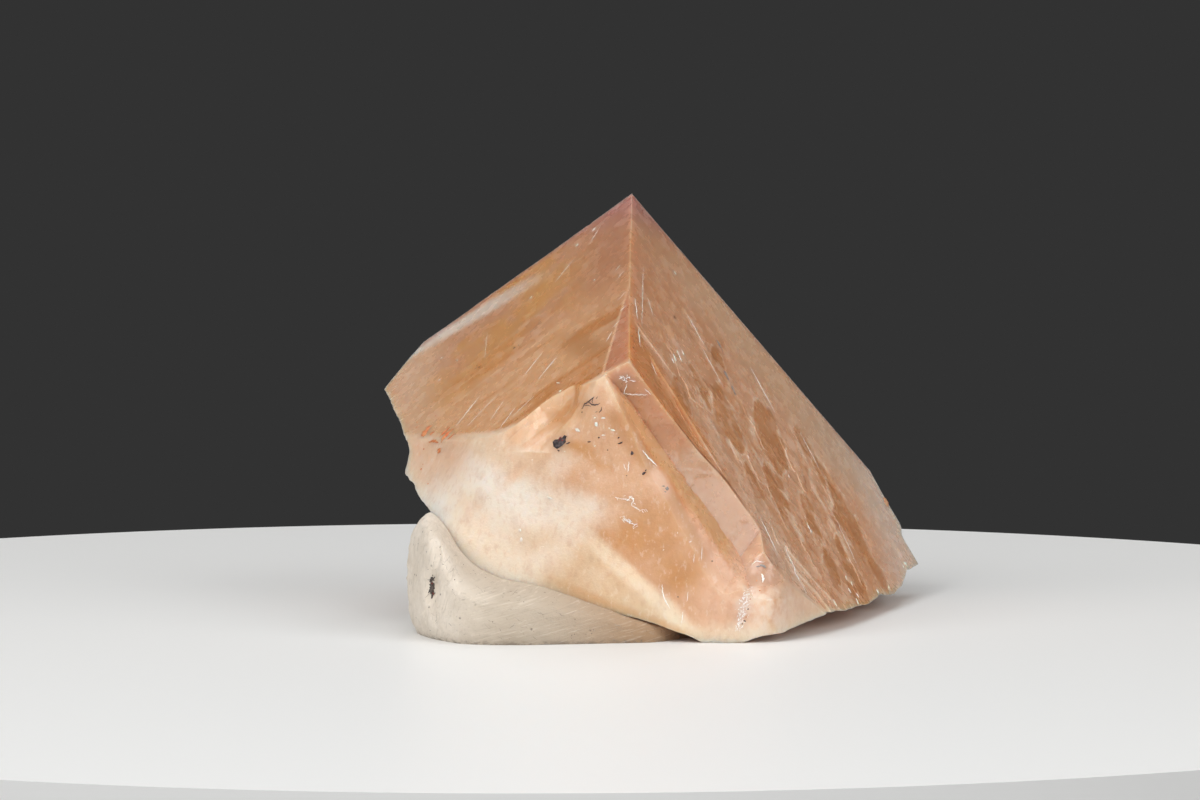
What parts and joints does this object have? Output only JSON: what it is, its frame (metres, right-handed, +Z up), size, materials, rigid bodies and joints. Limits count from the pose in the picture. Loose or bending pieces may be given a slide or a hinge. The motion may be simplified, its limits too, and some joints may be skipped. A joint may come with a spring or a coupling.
{
  "type": "fluorite crystal specimen",
  "caption": "Broken corner of one large translucent peach cube crystal with stepped faces, propped on a lump of grey-white putty.",
  "frame": {"origin": "under the middle of the specimen, on the surface it rests on", "axes": "+Z up to the cube's corner, -Y towards the front, where the broken side and the stepped edge face, +X to the right"},
  "size_m": [0.0584, 0.0594, 0.0447],
  "materials": {
    "fluorite": "translucent, glassy on the cube faces, finely uneven on the breaks",
    "putty": "matt, soft, with dust and fibres"
  },
  "bodies": {
    "root": {"crystal": "fluorite", "putty": "putty"}
  },
  "joints": []
}
